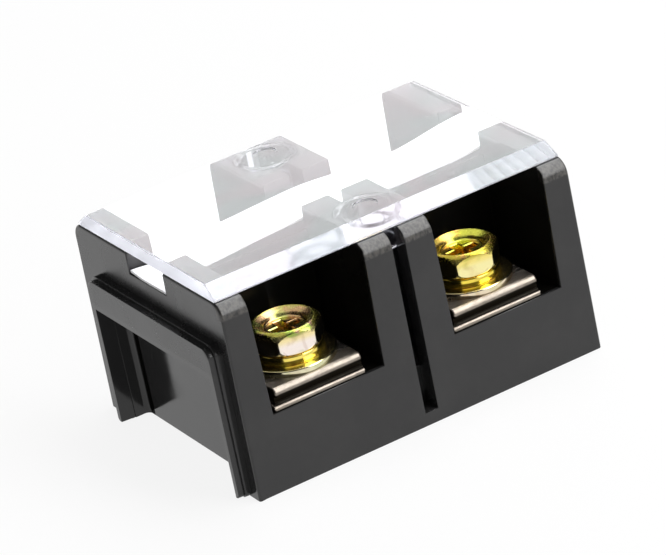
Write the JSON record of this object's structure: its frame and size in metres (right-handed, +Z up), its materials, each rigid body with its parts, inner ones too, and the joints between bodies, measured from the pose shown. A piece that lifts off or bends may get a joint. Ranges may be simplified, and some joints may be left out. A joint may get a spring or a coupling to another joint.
{
  "type": "barrier terminal strip",
  "caption": "Rectangular black barrier terminal strip: open wiring chambers with hexagon clamp screws on plated bars, a marker strip and a clear lift-off cover.",
  "frame": {"origin": "on the underside, midway between the two mounting holes", "axes": "+X along the strip with the raised end panel at -X, -Y out of the front face, +Z up from the mounting surface to the cover"},
  "size_m": [0.0618, 0.0456, 0.0333],
  "materials": {
    "black_moulding": "semi-gloss moulded thermoset",
    "clear_cover": "clear moulded polycarbonate",
    "white_strip": "plain white card or film",
    "nickel_plate": "satin nickel plating",
    "yellow_zinc": "yellow passivated zinc plating"
  },
  "bodies": {
    "base": {"base": "black_moulding", "marker_strip": "white_strip", "busbar_left": "nickel_plate", "busbar_fixing_screw_left": "nickel_plate", "busbar_right": "nickel_plate", "busbar_fixing_screw_right": "nickel_plate"},
    "cover": {"cover": "clear_cover"},
    "washers_front_left": {"plain_washer_front_left": "yellow_zinc", "spring_washer_front_left": "yellow_zinc"},
    "terminal_screw_front_left": {"terminal_screw_front_left": "yellow_zinc"},
    "washers_back_left": {"plain_washer_back_left": "yellow_zinc", "spring_washer_back_left": "yellow_zinc"},
    "terminal_screw_back_left": {"terminal_screw_back_left": "yellow_zinc"},
    "washers_front_right": {"plain_washer_front_right": "yellow_zinc", "spring_washer_front_right": "yellow_zinc"},
    "terminal_screw_front_right": {"terminal_screw_front_right": "yellow_zinc"},
    "washers_back_right": {"plain_washer_back_right": "yellow_zinc", "spring_washer_back_right": "yellow_zinc"},
    "terminal_screw_back_right": {"terminal_screw_back_right": "yellow_zinc"}
  },
  "joints": [
    {"name": "cover_lift", "type": "slide", "parent": "base", "child": "cover", "axis": [0, 0, 1], "range_m": [0, 0.012]},
    {"name": "screw_rise_front_left", "type": "slide", "parent": "base", "child": "washers_front_left", "axis": [0, 0, 1], "range_m": [0, 0.005]},
    {"name": "screw_turn_front_left", "type": "hinge", "parent": "washers_front_left", "child": "terminal_screw_front_left", "pos_m": [-0.01631, -0.0141, 0.0174], "axis": [0, 0, 1], "range_deg": [0, 1800]},
    {"name": "screw_rise_back_left", "type": "slide", "parent": "base", "child": "washers_back_left", "axis": [0, 0, 1], "range_m": [0, 0.005]},
    {"name": "screw_turn_back_left", "type": "hinge", "parent": "washers_back_left", "child": "terminal_screw_back_left", "pos_m": [-0.01631, 0.0141, 0.0174], "axis": [0, 0, 1], "range_deg": [0, 1800]},
    {"name": "screw_rise_front_right", "type": "slide", "parent": "base", "child": "washers_front_right", "axis": [0, 0, 1], "range_m": [0, 0.005]},
    {"name": "screw_turn_front_right", "type": "hinge", "parent": "washers_front_right", "child": "terminal_screw_front_right", "pos_m": [0.01449, -0.0141, 0.0174], "axis": [0, 0, 1], "range_deg": [0, 1800]},
    {"name": "screw_rise_back_right", "type": "slide", "parent": "base", "child": "washers_back_right", "axis": [0, 0, 1], "range_m": [0, 0.005]},
    {"name": "screw_turn_back_right", "type": "hinge", "parent": "washers_back_right", "child": "terminal_screw_back_right", "pos_m": [0.01449, 0.0141, 0.0174], "axis": [0, 0, 1], "range_deg": [0, 1800]}
  ],
  "couplings": [
    {"joint": "screw_turn_front_left", "follows": "screw_rise_front_left", "rad_per_m": 6283.2},
    {"joint": "screw_turn_back_left", "follows": "screw_rise_back_left", "rad_per_m": 6283.2},
    {"joint": "screw_turn_front_right", "follows": "screw_rise_front_right", "rad_per_m": 6283.2},
    {"joint": "screw_turn_back_right", "follows": "screw_rise_back_right", "rad_per_m": 6283.2}
  ]
}
